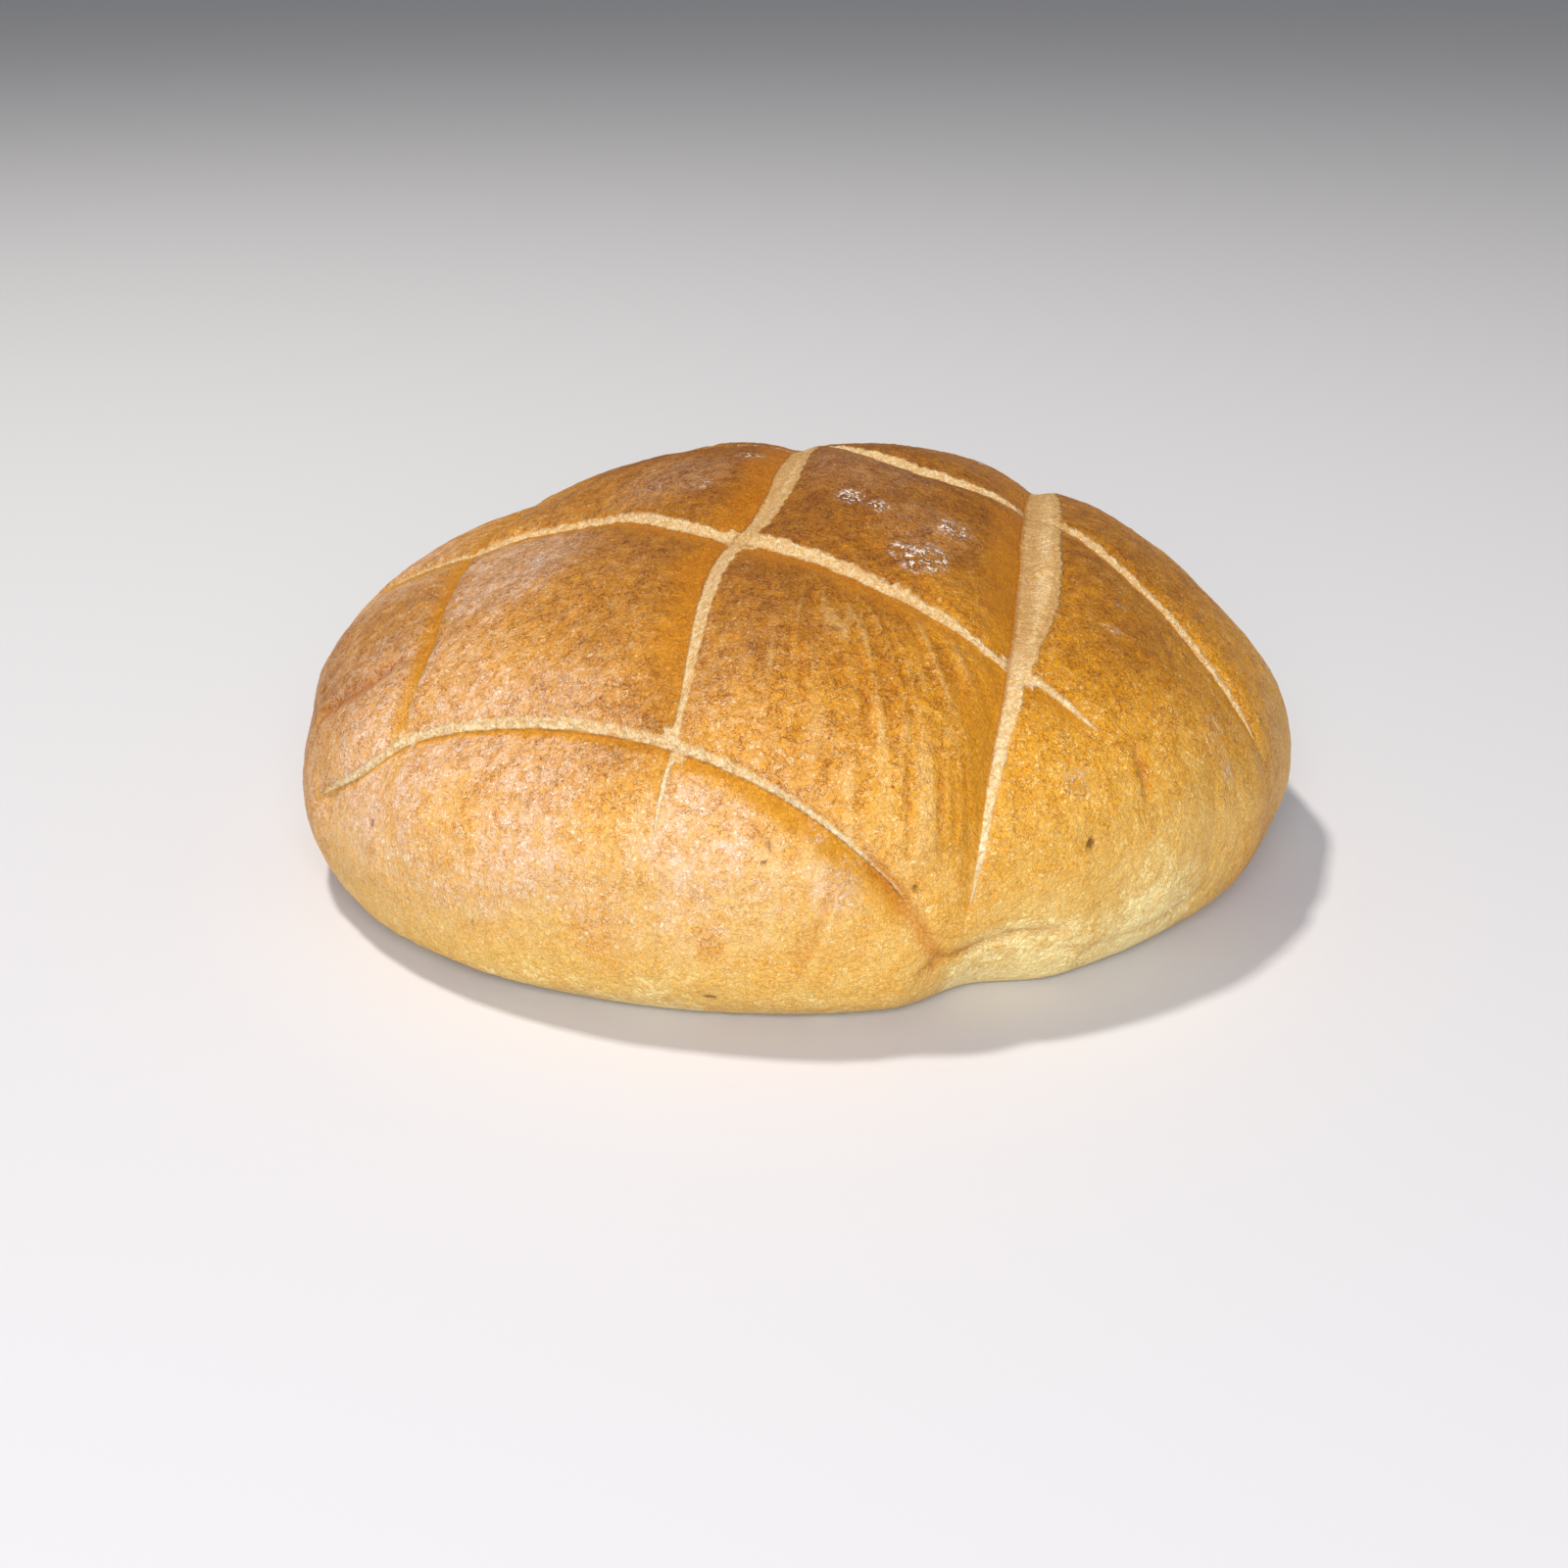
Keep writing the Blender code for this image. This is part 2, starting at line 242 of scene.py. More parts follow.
# Browning: its value at the foot, its rise to the crown and the power of the height with which it rises.
# Then broad patches (size, amount) and the pale line at the foot (height, amount).
BROWNING_AT_FOOT = 0.13
BROWNING_RISE = 0.85
BROWNING_POWER = 1.5
BROWNING_PATCHES = (24.0, 0.14)
PALE_FOOT = (3.5, 0.12)

# Places made darker, or paler: (centre on the flattened crust, radius, more)
BROWNED = (
    ((48.0, -111.0), 24.0, -0.5),
    ((-2.0, -84.0), 18.0, 0.1),
    ((78.0, -88.0), 30.0, -0.24),
    ((58.0, -36.0), 34.0, 0.16),
    ((-94.0, -20.0), 44.0, 0.4),
    ((98.0, -38.0), 34.0, 0.26),
    ((76.0, -8.0), 30.0, 0.14),
    ((-17.0, -105.5), 5.0, 0.3),
    ((-6.0, -110.0), 8.0, 0.14),
    ((-38.0, -101.0), 12.0, 0.12),
    ((-30.0, -74.0), 14.0, 0.12),
)

# Painted sheen: a pale layer that stands for the front lamp's reflection. It lies thickest on the side
# that faces this way, in patches of this size, and in a few more places: (centre on the flattened crust,
# radius, share)
SHEEN_FACES = (-0.9, -0.45)
SHEEN_PATCH = 13.0
SHEEN_SPOTS = (
    ((-24.0, -3.0), 15.0, 0.45),
    ((-50.0, -22.0), 20.0, 1.3),
    ((8.0, -6.0), 16.0, 0.32),
    ((18.0, -26.0), 12.0, 0.3),
    ((70.0, -52.0), 6.0, 0.15),
    ((5.0, -98.0), 9.0, 0.6),
    ((-18.0, -90.0), 16.0, 0.75),
    ((62.0, 30.0), 12.0, 0.25),
    ((-20.0, 60.0), 16.0, 0.25),
)

# Painted glints: places where small pale specks stand for highlights: (centre on the flattened crust, radius,
# share)
PAINTED_GLINTS = (
    ((5.0, -19.5), 3.4, 1.0),
    ((9.5, -22.5), 2.6, 1.0),
    ((22.6, -24.5), 4.0, 1.3),
    ((17.0, -36.0), 5.6, 1.4),
    ((13.0, -34.0), 2.6, 1.0),
    ((-19.0, -10.0), 2.6, 0.5),
    ((-12.0, 5.0), 3.0, 1.0),
    ((-27.0, -6.5), 2.2, 0.6),
    ((-45.0, -24.0), 3.4, 0.6),
    ((48.8, -41.3), 1.8, 0.6),
    ((51.0, -32.5), 1.2, 0.6),
    ((69.5, -47.5), 1.8, 0.6),
    ((73.5, -54.5), 2.0, 0.6),
    ((6.5, -98.0), 4.0, 0.35),
    ((1.0, -92.0), 3.0, 0.3),
    ((-36.0, -60.0), 8.0, 0.15),
    ((43.0, -76.0), 3.4, 0.5),
    ((30.0, 34.0), 3.2, 0.8),
    ((-30.0, 44.0), 3.0, 0.8),
)

# Small blisters in the glaze near the crown: (centre, radius, height)
BLISTERS = (
    ((5.0, -16.0), 1.2, 0.22),
    ((7.5, -17.5), 0.9, 0.2),
    ((9.5, -15.0), 0.8, 0.16),
    ((16.4, -32.9), 1.3, 0.24),
    ((18.6, -31.0), 0.9, 0.2),
    ((20.5, -34.0), 1.0, 0.2),
    ((22.0, -27.0), 1.2, 0.22),
    ((24.0, -29.0), 0.8, 0.18),
)

# Crust colours by browning, from the palest foot to the darkest crown
BROWNS = (
    (0.0, "FFE8A2"),
    (0.12, "EABD64"),
    (0.3, "E8AC42"),
    (0.48, "DD991E"),
    (0.66, "C98408"),
    (0.84, "A86804"),
    (1.0, "8A4E06"),
)

# The grid's cells along each side of the square, and the rings that close the base
GRID_CELLS = 300
BASE_RINGS = 3

# Gap given to points that lie far from every score and pit
NO_GAP = 20.0

# The camera's height above the floor as an angle, its distance and target, and its focal length
CAMERA_ELEVATION = np.radians(21.5)
CAMERA_DISTANCE = 413.0
CAMERA_TARGET = (-3.2, -1.3, 7.3)
CAMERA_LENS = 54.45


def smooth(x):
    """0 to 1 with level ends: 3x² - 2x³, x held between 0 and 1."""
    x = np.clip(x, 0.0, 1.0)
    return x * x * (3.0 - 2.0 * x)


def distance_from(centre, flat):
    """How far each point of the flattened crust lies from a centre."""
    return np.hypot(flat[:, 0] - centre[0], flat[:, 1] - centre[1])


def spot(centre, radius, flat, steepness=1.0):
    """A round spot: the smooth step of (1 - distance / radius) times the steepness, so 0 past the radius."""
    return smooth(steepness * (1.0 - distance_from(centre, flat) / radius))


def plan_radius(angle):
    """Radius of the waist in a direction: a superellipse.

    It is (|cos| / half width)^power + (|sin| / half depth)^power, to the power of -1/power.
    """
    turned = angle - PLAN_TURN
    across = np.abs(np.cos(turned) / HALF_WIDTH) ** PLAN_POWER
    along = np.abs(np.sin(turned) / HALF_DEPTH) ** PLAN_POWER
    return (across + along) ** (-1.0 / PLAN_POWER)


def waist_height(angle):
    """Height of the widest place in a direction: the mean height, with one and two waves round the loaf."""
    one = WAIST_ONE_ROUND[0] * np.cos(angle) + WAIST_ONE_ROUND[1] * np.sin(angle)
    two = WAIST_TWO_ROUND[0] * np.cos(2 * angle) + WAIST_TWO_ROUND[1] * np.sin(2 * angle)
    return WAIST_HEIGHT * (1.0 + one + two)


def profile(step):
    """Half a side view. Steps 0 to 1 run from crown to waist and 1 to 2 from waist to base.

    Gives the share of the plan radius, the share of the dome's height and the share of the waist's
    height. The dome is a superellipse that is round at the crown, and the tuck below is an ellipse.
    """
    up = np.clip(step, 0.0, 1.0) * np.pi / 2
    down = np.clip(step - 1.0, 0.0, 1.0) * np.pi / 2
    share = np.where(step > 1, BASE_SHARE + (1 - BASE_SHARE) * np.cos(down), np.sin(up))
    flat = ((1 + CROWN_ROUNDING**2) / (share**2 + CROWN_ROUNDING**2)) ** (1 - DOME_POWER / 2)
    dome = np.clip(1.0 - share**2 * flat, 0.0, 1.0) ** (1.0 / DOME_ROOT)
    return share, np.where(step > 1, 0.0, dome), 1.0 - np.sin(down)


def profile_lengths():
    """Steps down the mean side view, with the length and the crust's area (crown 0, base rim 1) so far."""
    steps = np.linspace(0.0, 2.0, PROFILE_STEPS + 1)
    share, dome, waist = profile(steps)
    height = WAIST_HEIGHT * waist + (CROWN_HEIGHT - WAIST_HEIGHT) * dome
    radius = share * np.sqrt(HALF_WIDTH * HALF_DEPTH)
    pieces = np.hypot(np.diff(radius), np.diff(height))
    length = np.concatenate([[0.0], np.cumsum(pieces)])
    area = np.concatenate([[0.0], np.cumsum(pieces * (radius[1:] + radius[:-1]))])
    return steps, length, area / area[-1]


PROFILE_STEP, PROFILE_LENGTH, PROFILE_AREA = profile_lengths()


def body(flat):
    """The smooth loaf at points of the flattened crust: the side view, swept round the plan.

    The dome leans to the shifted crown by its height to the lean power.
    """
    angle = np.arctan2(flat[:, 1], flat[:, 0])
    step = np.interp(np.hypot(flat[:, 0], flat[:, 1]), PROFILE_LENGTH, PROFILE_STEP)
    share, dome, below = profile(step)
    waist = waist_height(angle)
    z = np.where(step > 1, waist * below, waist + (CROWN_HEIGHT - waist) * dome)
    lean = np.clip(z / CROWN_HEIGHT, 0.0, 1.0) ** LEAN_POWER
    radius = plan_radius(angle) * share
    x = radius * np.cos(angle) + CROWN_SHIFT[0] * lean
    y = radius * np.sin(angle) + CROWN_SHIFT[1] * lean
    return np.stack([x, y, z], axis=-1)


def outward(points):
    """Directions in which relief is raised: the normals of an ellipsoid of about the loaf's size."""
    rise = CROWN_HEIGHT - WAIST_HEIGHT
    normals = np.stack(
        [
            points[:, 0] / HALF_WIDTH**2,
            points[:, 1] / HALF_DEPTH**2,
            (points[:, 2] - WAIST_HEIGHT) / rise**2,
        ],
        axis=-1,
    )
    return normals / np.linalg.norm(normals, axis=1, keepdims=True)


def curve_through(points):
    """A smooth curve through the points: each stretch is the cubic whose slopes join its neighbours'."""
    points = np.array(points, dtype=float)
    ends = np.vstack([2 * points[0] - points[1], points, 2 * points[-1] - points[-2]])
    u = np.linspace(0.0, 1.0, CURVE_STEPS, endpoint=False)[:, None]
    stretches = []
    for before, start, end, after in zip(ends, ends[1:], ends[2:], ends[3:]):
        slope_in = (end - before) / 2
        slope_out = (after - start) / 2
        bend = 3 * (end - start) - 2 * slope_in - slope_out
        twist = 2 * (start - end) + slope_in + slope_out
        stretches.append(start + slope_in * u + bend * u**2 + twist * u**3)
    return np.vstack(stretches + [points[-1:]])


def measure_from(curve, flat):
    """For each flat point: signed distance from the curve (above 0 left of it), length along the curve to
    the nearest place, and the curve's whole length."""
    spans = np.diff(curve, axis=0)
    lengths = np.hypot(spans[:, 0], spans[:, 1])
    starts = np.concatenate([[0.0], np.cumsum(lengths)])
    signed = np.full(len(flat), np.inf)
    along = np.zeros(len(flat))
    for start, span, length, so_far in zip(curve, spans, lengths, starts):
        offset = flat - start
        share = np.clip(offset @ span / length**2, 0.0, 1.0)
        gap = np.hypot(offset[:, 0] - share * span[0], offset[:, 1] - share * span[1])
        nearer = gap < np.abs(signed)
        turn = span[0] * offset[nearer, 1] - span[1] * offset[nearer, 0]
        signed[nearer] = np.where(turn < 0, -gap[nearer], gap[nearer])
        along[nearer] = so_far + share[nearer] * length
    return signed, along, starts[-1]


def spread(values, share):
    """The value at a share of the way from the first of some evenly spaced values to the last."""
    return np.interp(share, np.linspace(0.0, 1.0, len(values)), values)


def lattice_noise(points, cell, seed):
    """Uneven numbers from 0 to 1 in any number of dimensions.

    Each corner of a lattice with this cell size has a seeded random number, and a point takes the
    smooth blend of the corners round it.
    """
    chance = np.random.default_rng(seed)
    shuffled = chance.permutation(256)
    values = chance.uniform(0.0, 1.0, 256)
    scaled = points / np.asarray(cell, dtype=float)
    corner = np.floor(scaled).astype(int)
    share = smooth(scaled - corner)
    total = np.zeros(len(points))
    dimensions = points.shape[1]
    for number in range(2**dimensions):
        weight = np.ones(len(points))
        place = np.zeros(len(points), dtype=int)
        for axis in range(dimensions):
            high = (number >> axis) & 1
            weight *= share[:, axis] if high else 1.0 - share[:, axis]
            place = shuffled[(place + corner[:, axis] + high) % 256]
        total += weight * values[place]
    return total


def unevenness(points):
    """Slow hills and hollows: for each wavelength, a sum of sine waves in seeded random directions."""
    total = np.zeros(len(points))
    for wavelength, height, seed in UNEVENNESS:
        chance = np.random.default_rng(seed)
        directions = chance.normal(size=(WAVE_COUNT, 3))
        directions /= np.linalg.norm(directions, axis=1, keepdims=True)
        lengths = wavelength * chance.uniform(0.75, 1.3, WAVE_COUNT)
        phases = chance.uniform(0.0, 2 * np.pi, WAVE_COUNT)
        waves = np.sin(2 * np.pi * (points @ directions.T) / lengths + phases)
        total += height * np.sqrt(2.0 / WAVE_COUNT) * waves.sum(axis=1)
    return total


def pressed_in(flat):
    """How far the side is pressed towards the middle: round hollows, deepest at their centres."""
    total = np.zeros(len(flat))
    for centre, radius, depth in HOLLOWS:
        total += depth * spot(centre, radius, flat)
    return total


def score_depth(past_crease, half):
    """How deep a score of full strength is, by the distance past the sharp edge of its floor.

    The depth is greatest at that edge. It falls off over the shoulder as exp(-distance/reach). Over the
    floor it falls smoothly to the lip's share, and beyond the lip again as exp(-distance/reach).
    """
    deepest = SCORE_DEPTH + DEPTH_PER_WIDTH * half
    rounded = np.hypot(np.maximum(past_crease, 0.0), SHOULDER_ROUNDING) - SHOULDER_ROUNDING
    shoulder = deepest * np.exp(-rounded / SHOULDER_REACH)
    width = 2.0 * (half + LEAST_FLOOR)
    slope = deepest * (1.0 - (1.0 - LIP_SHARE) * smooth(-past_crease / width))
    beyond = np.maximum(-past_crease - width, 0.0)
    return np.where(past_crease > 0, shoulder, slope * np.exp(-beyond / LIP_REACH))


def read_scores(flat):
    """What the scores do at each flat point: their joint depth, the length run along the nearest one, and
    a dictionary of what the colours need.

    Where scores cross, the fourth root of the sum of fourth powers joins their depths. The gaps are
    distances to the edges of the nearest pale floor, less than 0 on it: "crease gap" to its sharp edge
    and "lip gap" to its torn one, each blind to the other. "cut_line_shade gap" is the distance to the
    painted dark line of shade along the sharp edge, "torn" the half-width of the floor nearby, and
    "shoulder" the painted shade exp(-(distance / width)²) of the smooth shoulder, on the side away from
    the front lamp.
    """
    powers = np.zeros(len(flat))
    far = np.full(len(flat), FAR_FROM_SCORES)
    none = np.zeros(len(flat))
    found = {"crease gap": far, "lip gap": far, "seam gap": far, "torn": none, "shoulder": none}
    nearest = far
    run = none
    for name, (points, half_widths, strengths, shoulder_side) in SCORES.items():
        signed, along, total = measure_from(curve_through(points), flat)
        ends = smooth(along / SCORE_FADE) * smooth((total - along) / SCORE_FADE)
        half = spread(half_widths, along / total) * ends
        strength = spread(strengths, along / total) * ends
        past_crease = signed * shoulder_side - half
        past_lip = -signed * shoulder_side - half
        powers += (strength * score_depth(past_crease, half)) ** 4

        closed = HAIRLINE_GAP * smooth(1.0 - half / HAIRLINE_HALF_WIDTH)
        to_crease = np.maximum(past_crease, past_lip - EDGE_OVERLAP) + closed
        to_lip = np.maximum(past_crease - EDGE_OVERLAP, past_lip) + closed
        # Distance to the painted dark line of shade along the sharp edge
        to_cut_line_shade = np.abs(past_crease) + CUT_LINE_SHADE_FADE * (1.0 - strength)
        found["crease gap"] = np.minimum(found["crease gap"], to_crease)
        found["lip gap"] = np.minimum(found["lip gap"], to_lip)
        found["seam gap"] = np.minimum(found["seam gap"], to_cut_line_shade)

        here = np.maximum(past_crease, past_lip)
        found["torn"] = np.maximum(found["torn"], half * smooth(1.0 - here / TORN_REACH))
        run = np.where(here < nearest, along, run)
        nearest = np.minimum(nearest, here)

        # Painted shade: the shoulder that turns away from the front lamp gets a saturated orange strip
        # without sheen
        shade_width = spread(SHOULDER_SHADE_WIDTHS[name], along / total)
        painted_shade = strength * np.exp(-((np.maximum(past_crease, 0.0) / shade_width) ** 2))
        painted_shade *= smooth(1.0 + past_crease / SHOULDER_SHADE_ROUNDING)
        found["shoulder"] = np.maximum(found["shoulder"], np.minimum(painted_shade, 1.0))
    return powers**0.25, run, found


def stretch_ridges(flat):
    """How far the crust is stretched into ridges: below 0 on their crests and above 0 in the valleys.

    It is long noise that runs down the loaf, folded at its middle value, and stronger in a few places.
    """
    angle = np.arctan2(flat[:, 1], flat[:, 0])
    length = np.hypot(flat[:, 0], flat[:, 1])
    down = np.stack([angle * RIDGE_RADIUS, length], axis=-1)
    sideways = RIDGE_BEND * (lattice_noise(flat, RIDGE_BEND_CELL, 6) - 0.5)
    bend = np.stack([sideways, np.zeros(len(flat))], axis=-1)
    ridges = np.abs(2.0 * lattice_noise(down + bend, RIDGE_CELL, 5) - 1.0) - RIDGE_LEVEL
    stretched = np.full(len(flat), RIDGE_SHARE)
    for centre, radius, share in STRETCHED:
        stretched = np.maximum(stretched, share * spot(centre, radius, flat, 1.4))
    return ridges * stretched


def marks(flat, found):
    """Height of the creases, pits, cracks and blisters, which are all below 0 but the blisters.

    A crease is sunk by depth times exp(-(distance / half-width)²). Pits, cracks and blisters are smooth
    steps of the distance. "crease" is the share of a crease's depth, and "pit gap" the distance to the
    edge of the nearest pit or crack.
    """
    height = np.zeros(len(flat))
    found["crease"] = np.zeros(len(flat))
    for crease, depth, half_width in CREASES:
        distance, along, total = measure_from(curve_through(crease), flat)
        ends = smooth(along / CREASE_FADE) * smooth((total - along) / CREASE_FADE)
        sunk = ends * np.exp(-((distance / half_width) ** 2))
        height -= depth * sunk
        found["crease"] = np.maximum(found["crease"], sunk)

    found["pit gap"] = np.full(len(flat), NO_GAP)
    for centre, radius in PITS:
        distance = distance_from(centre, flat)
        height -= PIT_DEPTH * radius * smooth(1.4 - distance / radius)
        found["pit gap"] = np.minimum(found["pit gap"], distance - radius)
    for crack in CRACKS:
        distance = np.abs(measure_from(np.array(crack), flat)[0])
        height -= CRACK_DEPTH * smooth(1.0 - distance)
        found["pit gap"] = np.minimum(found["pit gap"], distance - CRACK_HALF_WIDTH)

    for centre, radius, rise in BLISTERS:
        height += rise * spot(centre, radius, flat)
    return height


def fine_relief(flat, points, run, found):
    """Height of what is smaller than the panels: ridges, wrinkles, torn threads and marks.

    Wrinkles are noise folded at its middle value, in three sizes. Torn threads are short noise across
    the floors of the cuts. "ridge" is above 0.5 on the crests of the ridges.
    """
    ridges = stretch_ridges(flat)
    found["ridge"] = 0.5 - ridges
    height = -RIDGE_HEIGHT * ridges
    for cell, rise, seed in WRINKLES:
        size = (cell, cell, WRINKLE_FLATNESS * cell)
        folded = 1.0 - np.abs(2.0 * lattice_noise(points, size, seed) - 1.0)
        height += rise * (folded - 0.5)

    inside = np.maximum(found["crease gap"], found["lip gap"])
    torn = lattice_noise(np.stack([inside, run], axis=-1), TORN_CELL, 31)
    torn += lattice_noise(points, TORN_GRAIN, 32) - 1.0
    height += TORN_HEIGHT * torn * smooth(1.0 - inside / 0.5) * smooth(found["torn"] / 0.6)
    return height + marks(flat, found)


def square_to_flat(u, v):
    """The square -1 to 1 laid over the flat crust: nested squares become circles of equal share of area."""
    ring = np.maximum(np.abs(u), np.abs(v))
    wide = np.abs(u) >= np.abs(v)
    side = np.where(wide, u, v)
    other = np.where(wide, v, u)
    turn = np.pi / 4 * other / np.where(side == 0, 1.0, side)
    angle = np.where(wide, turn, np.pi / 2 - turn) + np.where(side < 0, np.pi, 0.0)
    length = np.interp(ring**2, PROFILE_AREA, PROFILE_LENGTH)
    return length[:, None] * np.stack([np.cos(angle), np.sin(angle)], axis=-1)


def browning(flat, points):
    """How dark the oven made the crust, from 0 to 1.

    It is the value at the foot plus the rise times a power of the height's share, plus slow noise and
    the listed round places, less the pale line at the foot.
    """
    height = np.clip(points[:, 2] / CROWN_HEIGHT, 0.0, 1.0)
    size, amount = BROWNING_PATCHES
    patches = amount * (lattice_noise(points, size, 41) - 0.5)
    brown = BROWNING_AT_FOOT + BROWNING_RISE * height**BROWNING_POWER + patches
    for centre, radius, more in BROWNED:
        brown += more * spot(centre, radius, flat)
    brown -= PALE_FOOT[1] * smooth(1.0 - points[:, 2] / PALE_FOOT[0])
    return np.clip(brown, 0.0, 1.0)


def painted_sheen_and_glints(flat, points, shoulder):
    """Where painted sheen lies as a pale layer, in patches, and where painted glints lie as small pale
    specks.

    The sheen stands for the front lamp's reflection. It is a product of smooth steps: it starts a tenth of
    the way up, thins out near the crown and lies on the side of the loaf that faces the lamp. In the listed
    places it has at least their share, and the shoulders of the cuts, which carry painted shade, have
    hardly any.
    """
    height = points[:, 2] / CROWN_HEIGHT
    turned = (points[:, 0] * SHEEN_FACES[0] + points[:, 1] * SHEEN_FACES[1]) / HALF_WIDTH
    painted_sheen = smooth((height - 0.1) / 0.28) * smooth((1.0 - height) / 0.3) * smooth(0.92 * turned - 0.02)
    painted_sheen *= 0.45 + 0.55 * smooth((lattice_noise(points, SHEEN_PATCH, 51) - 0.2) / 0.5)
    painted_glints = np.zeros(len(flat))
    for centre, radius, share in SHEEN_SPOTS:
        painted_sheen = np.maximum(painted_sheen, share * spot(centre, radius, flat, 1.5))
    for centre, radius, share in PAINTED_GLINTS:
        painted_glints = np.maximum(painted_glints, share * spot(centre, radius, flat, 1.6))
    return painted_sheen * (1.0 - 0.9 * smooth(1.4 * shoulder)), painted_glints


def loaf_surface(flat):
    """The finished crust at flat points, with what its colours need: a dictionary of numbers per point.

    The smooth loaf is first pressed in towards its axis. Then each point is raised outwards by the
    panels' rise, less the scores' depth, plus the slow unevenness and the fine relief.
    """
    smooth_loaf = body(flat)
    from_axis = np.maximum(np.hypot(smooth_loaf[:, 0], smooth_loaf[:, 1]), 1.0)
    smooth_loaf[:, :2] *= (1.0 - pressed_in(flat) / from_axis)[:, None]
    depth, run, readings = read_scores(flat)
    small = fine_relief(flat, smooth_loaf, run, readings)
    height = PANEL_RISE - depth + unevenness(smooth_loaf) + small
    height *= smooth(smooth_loaf[:, 2] / BASE_FADE)
    readings["browning"] = browning(flat, smooth_loaf)
    readings["painted_sheen"], readings["painted_glints"] = painted_sheen_and_glints(flat, smooth_loaf, readings["shoulder"])
    return smooth_loaf + outward(smooth_loaf) * height[:, None], readings


def grid_faces(cells):
    """Four-cornered faces of the grid, all facing out: each joins a point to those right of and above it."""
    row = np.arange(cells)
    first = (row[None, :] + (cells + 1) * row[:, None]).ravel()
    return np.stack([first, first + 1, first + cells + 2, first + cells + 1], axis=-1)


def rim_loop(cells):
    """The numbers of the grid's edge points, in one loop that runs against the clock seen from above."""
    row = cells + 1
    count = np.arange(cells)
    front = count
    right = count * row + cells
    back = cells * row + cells - count
    left = (cells - count) * row
    return np.concatenate([front, right, back, left])


def closed_base(points, readings, rim):
    """Rings of points from the rim to the middle of the flat base, and their faces, which face down.

    Each ring is the rim drawn in towards the middle by an even share. The readings get values for them.
    """
    middle = points[rim].mean(axis=0)
    rings = [rim]
    base_points = []
    so_far = len(points)
    for number in range(1, BASE_RINGS + 1):
        share = 1.0 - number / (BASE_RINGS + 1)
        base_points.append(middle + (points[rim] - middle) * share)
        rings.append(so_far + np.arange(len(rim)))
        so_far += len(rim)
    base_points.append(middle[None, :])
    quads = []
    for outer, inner in zip(rings, rings[1:]):
        quads.append(np.stack([outer, inner, np.roll(inner, -1), np.roll(outer, -1)], axis=-1))
    last = rings[-1]
    pole = np.full(len(last), so_far)
    triangles = np.stack([last, pole, np.roll(last, -1)], axis=-1)
    added = np.vstack(base_points)
    for name, values in readings.items():
        fill = NO_GAP if name.endswith("gap") else 0.0
        readings[name] = np.concatenate([values, np.full(len(added), fill)])
    readings["underside"] = np.concatenate([np.zeros(len(points)), np.ones(len(added))])
    return np.vstack([points, added]), np.vstack(quads), triangles


def mesh_from(name, points, quads, triangles):
    """A mesh from whole arrays of points in millimetres and of faces."""
    mesh = bpy.data.meshes.new(name)
    corners = np.concatenate([quads.ravel(), triangles.ravel()])
    sizes = np.concatenate([np.full(len(quads), 4), np.full(len(triangles), 3)])
    mesh.vertices.add(len(points))
    mesh.vertices.foreach_set("co", (points * MM).astype(np.float32).ravel())
    mesh.loops.add(len(corners))
    mesh.loops.foreach_set("vertex_index", corners.astype(np.int32))
    mesh.polygons.add(len(sizes))
    starts = np.concatenate([[0], np.cumsum(sizes)[:-1]])
    mesh.polygons.foreach_set("loop_start", starts.astype(np.int32))
    mesh.update(calc_edges=True)
    mesh.validate()
    mesh.shade_smooth()
    return mesh


def linear(code):
    """An sRGB colour code such as C68A2E as the four linear numbers that a shader takes."""
    parts = np.array([int(code[i : i + 2], 16) for i in (0, 2, 4)]) / 255.0
    parts = np.where(parts <= 0.04045, parts / 12.92, ((parts + 0.055) / 1.055) ** 2.4)
    return (*parts.tolist(), 1.0)


